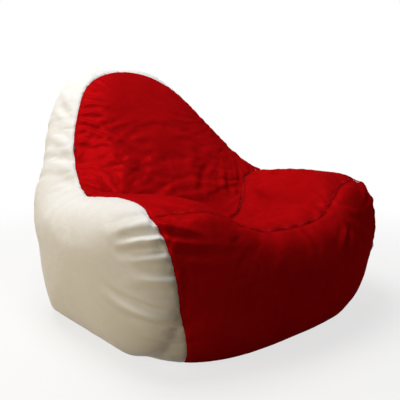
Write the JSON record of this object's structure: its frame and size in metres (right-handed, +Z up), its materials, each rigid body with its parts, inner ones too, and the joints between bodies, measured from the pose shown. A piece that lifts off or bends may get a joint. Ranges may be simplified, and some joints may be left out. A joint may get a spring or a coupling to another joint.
{
  "type": "bean bag chair",
  "caption": "Two-colour bean bag armchair with a raised backrest, a sewn cover with a rear zip, a zipped liner and a loose bead filling.",
  "frame": {"origin": "on the floor under the middle of the chair's box", "axes": "+Z up, the sitter faces -Y, +X is to the sitter's left"},
  "size_m": [0.995, 1.0543, 0.769],
  "materials": {
    "red_cloth": "smooth woven nylon",
    "white_cloth": "smooth woven nylon",
    "base_cloth": "coated woven polyester",
    "liner_cloth": "thin non-woven lining",
    "beads": "loose expanded polystyrene beads",
    "zip_tape": "woven tape",
    "zip_teeth": "nylon",
    "zip_metal": "satin metal",
    "webbing": "woven webbing",
    "tab_cloth": "bare woven tape"
  },
  "bodies": {
    "bag": {"base_panel": "base_cloth", "seat_panel": "red_cloth", "front_panel": "red_cloth", "backrest_panel": "red_cloth", "side_panel_left": "white_cloth", "side_panel_right": "white_cloth", "back_panel_left": "white_cloth", "back_panel_right": "white_cloth", "inner_liner": "liner_cloth", "bead_filling": "beads", "seam_tab": "tab_cloth", "cover_zip_tape_left": "zip_tape", "cover_zip_teeth_left": "zip_teeth", "cover_zip_tape_right": "zip_tape", "cover_zip_teeth_right": "zip_teeth", "cover_zip_stops": "zip_metal", "liner_zip_tape_left": "zip_tape", "liner_zip_teeth_left": "zip_teeth", "liner_zip_tape_right": "zip_tape", "liner_zip_teeth_right": "zip_teeth", "liner_zip_stops": "zip_metal"},
    "cover_slider": {"cover_zip_slider": "zip_metal"},
    "cover_pull": {"cover_zip_pull": "zip_metal"},
    "liner_slider": {"liner_zip_slider": "zip_metal"},
    "liner_pull": {"liner_zip_pull": "zip_metal"},
    "loop": {"carry_loop": "webbing"}
  },
  "joints": [
    {"name": "cover_zip_slide", "type": "slide", "parent": "bag", "child": "cover_slider", "axis": [0, 0, 1], "range_m": [-0.2835, 0]},
    {"name": "cover_pull_flip", "type": "hinge", "parent": "cover_slider", "child": "cover_pull", "pos_m": [0, 0.40229, 0.33575], "axis": [1, 0, 0], "range_deg": [0, 170]},
    {"name": "liner_zip_slide", "type": "slide", "parent": "bag", "child": "liner_slider", "axis": [0, 0, 1], "range_m": [-0.2335, 0]},
    {"name": "liner_pull_flip", "type": "hinge", "parent": "liner_slider", "child": "liner_pull", "pos_m": [0, 0.3903, 0.30575], "axis": [1, 0, 0], "range_deg": [0, 10]},
    {"name": "loop_swing", "type": "hinge", "parent": "bag", "child": "loop", "pos_m": [0, 0.51338, 0.7], "axis": [1, 0, 0], "range_deg": [0, 140]}
  ]
}
